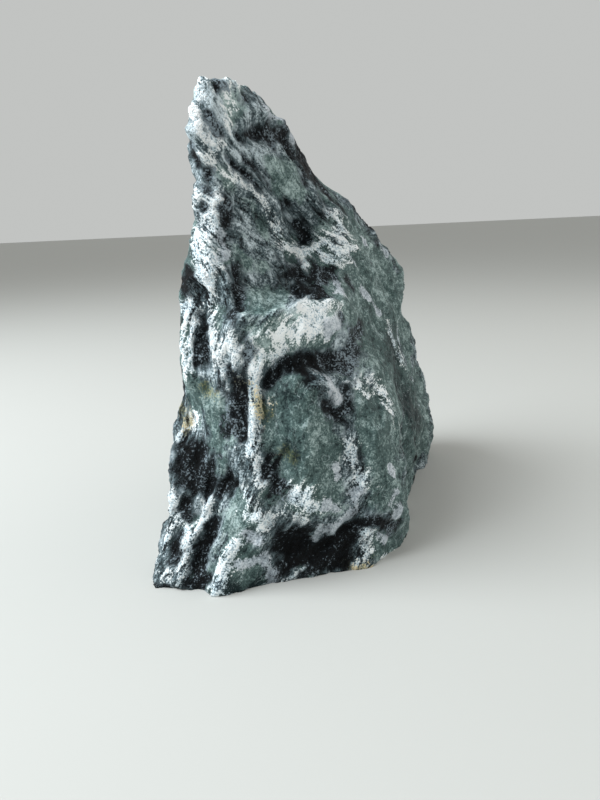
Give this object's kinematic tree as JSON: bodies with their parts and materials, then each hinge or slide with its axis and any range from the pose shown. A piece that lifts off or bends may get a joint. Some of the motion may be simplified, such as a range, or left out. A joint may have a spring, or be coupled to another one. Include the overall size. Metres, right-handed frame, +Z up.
{
  "type": "raw soapstone",
  "caption": "Raw block of green and black soapstone, a fin-shaped stone with a horn at one end, a shoulder ledge, a deep pocket and a flared foot, standing on its flat base",
  "frame": {"origin": "centre of the bounding box in X and Y, on the flat base (Z = 0)", "axes": "+Z up from the base to the horn, which is the longest extent; +X to the right of the narrow front end as the picture sees it, which is the shortest extent; +Y back along the fin"},
  "size_m": [0.1586, 0.1744, 0.207],
  "materials": {
    "soapstone": "grey-green talc rock with black chlorite patches and crushed white edges, half matt, with a faint waxy sheen"
  },
  "bodies": {
    "root": {"soapstone_block": "soapstone"}
  },
  "joints": []
}
